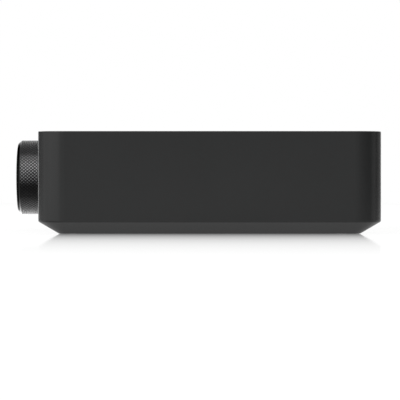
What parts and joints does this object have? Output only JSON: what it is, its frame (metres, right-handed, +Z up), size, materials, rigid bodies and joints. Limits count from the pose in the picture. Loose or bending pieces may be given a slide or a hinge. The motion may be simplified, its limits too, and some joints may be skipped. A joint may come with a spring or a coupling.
{
  "type": "streaming amplifier",
  "caption": "Low square streaming amplifier with a bevelled base, a large knurled volume knob that turns and presses, and recessed rear sockets and screw posts.",
  "frame": {"origin": "centre of the rubber mat's underside, where the amplifier stands", "axes": "+X to the right seen from the front, +Y from the front to the rear, +Z up"},
  "size_m": [0.2, 0.2204, 0.06],
  "materials": {
    "housing": "matt black powder paint",
    "base_plate": "matt black powder paint",
    "rubber": "matt",
    "screw_steel": "zinc plated",
    "dark_screw": "black oxide",
    "rear_plastic": "fine texture",
    "knob_metal": "black anodised, finely knurled",
    "knob_gloss": "polished black",
    "hub_plastic": "moulded",
    "encoder_metal": "nickel plated",
    "shaft_steel": "turned",
    "pale_plastic": "natural nylon",
    "circuit_board": "green solder resist",
    "chip_plastic": "moulded epoxy",
    "smoked_plastic": "dark smoked",
    "light_plastic": "clear light guide",
    "standoff_brass": "turned",
    "heat_sink_metal": "natural",
    "ferrite": "ferrite",
    "module_board": "blue solder resist",
    "shield_metal": "tin plated",
    "antenna_film": "amber film",
    "ribbon_vinyl": "grey flat cable",
    "socket_plastic": "moulded",
    "pin_nickel": "nickel plated",
    "fuse_glass": "glass tube with plated caps",
    "copper_winding": "enamelled copper winding",
    "transformer_tape": "yellow tape over ferrite",
    "capacitor_sleeve": "printed sleeve left plain",
    "shell_metal": "tin plated",
    "shutter_plastic": "moulded",
    "plated_brass": "gold plated",
    "jack_insert_plastic": "moulded",
    "collar_plastic": "moulded",
    "button_plastic": "moulded",
    "cap_red": "clear-coated red",
    "cap_black": "clear-coated black"
  },
  "bodies": {
    "chassis": {"housing": "housing", "base_plate": "base_plate", "rubber_mat": "rubber", "base_screws": "screw_steel", "rear_panel": "rear_plastic", "panel_screws": "dark_screw", "encoder_body": "encoder_metal", "encoder_nut": "encoder_metal", "front_board": "circuit_board", "infrared_receiver": "chip_plastic", "infrared_window": "smoked_plastic", "status_light": "light_plastic", "main_board": "circuit_board", "power_board": "circuit_board", "board_standoffs": "standoff_brass", "board_screws": "screw_steel", "amplifier_chip": "chip_plastic", "heat_sink": "heat_sink_metal", "output_inductors": "ferrite", "audio_processor": "chip_plastic", "streaming_module": "module_board", "module_shield": "shield_metal", "antennas": "antenna_film", "ribbon_plugs": "pale_plastic", "ribbon_cable": "ribbon_vinyl", "mains_inlet": "socket_plastic", "mains_pins": "pin_nickel", "fuse": "fuse_glass", "mains_choke": "copper_winding", "transformer": "transformer_tape", "bulk_capacitors": "capacitor_sleeve", "ethernet_socket": "socket_plastic", "usb_shell": "shell_metal", "usb_tongue": "socket_plastic", "hdmi_shell": "shell_metal", "hdmi_tongue": "socket_plastic", "optical_socket": "socket_plastic", "jack_blocks": "socket_plastic", "jack_barrels": "plated_brass", "jack_inserts": "jack_insert_plastic", "post_collars": "collar_plastic", "post_studs": "plated_brass", "terminal_board": "circuit_board", "control_board": "circuit_board", "setup_switch": "socket_plastic"},
    "plunger": {"push_plunger": "pale_plastic"},
    "knob": {"knob_ring": "knob_metal", "knob_face": "knob_gloss", "knob_hub": "hub_plastic", "encoder_shaft": "shaft_steel"},
    "setup_button": {"setup_button": "button_plastic"},
    "optical_shutter": {"optical_shutter": "shutter_plastic"},
    "washer_left_minus": {"washer_left_minus": "plated_brass"},
    "cap_left_minus": {"cap_left_minus": "cap_black"},
    "washer_left_plus": {"washer_left_plus": "plated_brass"},
    "cap_left_plus": {"cap_left_plus": "cap_red"},
    "washer_right_minus": {"washer_right_minus": "plated_brass"},
    "cap_right_minus": {"cap_right_minus": "cap_black"},
    "washer_right_plus": {"washer_right_plus": "plated_brass"},
    "cap_right_plus": {"cap_right_plus": "cap_red"}
  },
  "joints": [
    {"name": "knob_press", "type": "slide", "parent": "chassis", "child": "plunger", "axis": [0, 1, 0], "range_m": [0, 0.0005], "stiffness_N_per_m": 8000},
    {"name": "knob_turn", "type": "hinge", "parent": "plunger", "child": "knob", "pos_m": [0, -0.11, 0.0331], "axis": [0, 1, 0], "continuous": true},
    {"name": "setup_press", "type": "slide", "parent": "chassis", "child": "setup_button", "axis": [0, -1, 0], "range_m": [0, 0.0003], "stiffness_N_per_m": 2500},
    {"name": "shutter_swing", "type": "hinge", "parent": "chassis", "child": "optical_shutter", "pos_m": [0.01665, 0.0871, 0.024], "axis": [-1, 0, 0], "range_deg": [0, 80], "stiffness_Nm_per_rad": 0.0004, "springref_deg": -11.46},
    {"name": "washer_slide_left_minus", "type": "slide", "parent": "chassis", "child": "washer_left_minus", "axis": [0, 1, 0], "range_m": [0, 0.003]},
    {"name": "cap_turn_left_minus", "type": "hinge", "parent": "washer_left_minus", "child": "cap_left_minus", "pos_m": [-0.04585, 0.0973, 0.0235], "axis": [0, 1, 0], "range_deg": [0, 1080]},
    {"name": "washer_slide_left_plus", "type": "slide", "parent": "chassis", "child": "washer_left_plus", "axis": [0, 1, 0], "range_m": [0, 0.003]},
    {"name": "cap_turn_left_plus", "type": "hinge", "parent": "washer_left_plus", "child": "cap_left_plus", "pos_m": [-0.04585, 0.0973, 0.0425], "axis": [0, 1, 0], "range_deg": [0, 1080]},
    {"name": "washer_slide_right_minus", "type": "slide", "parent": "chassis", "child": "washer_right_minus", "axis": [0, 1, 0], "range_m": [0, 0.003]},
    {"name": "cap_turn_right_minus", "type": "hinge", "parent": "washer_right_minus", "child": "cap_right_minus", "pos_m": [-0.0284, 0.0973, 0.0235], "axis": [0, 1, 0], "range_deg": [0, 1080]},
    {"name": "washer_slide_right_plus", "type": "slide", "parent": "chassis", "child": "washer_right_plus", "axis": [0, 1, 0], "range_m": [0, 0.003]},
    {"name": "cap_turn_right_plus", "type": "hinge", "parent": "washer_right_plus", "child": "cap_right_plus", "pos_m": [-0.0284, 0.0973, 0.0425], "axis": [0, 1, 0], "range_deg": [0, 1080]}
  ],
  "couplings": [
    {"joint": "cap_turn_left_minus", "follows": "washer_slide_left_minus", "rad_per_m": 6283},
    {"joint": "cap_turn_left_plus", "follows": "washer_slide_left_plus", "rad_per_m": 6283},
    {"joint": "cap_turn_right_minus", "follows": "washer_slide_right_minus", "rad_per_m": 6283},
    {"joint": "cap_turn_right_plus", "follows": "washer_slide_right_plus", "rad_per_m": 6283}
  ]
}
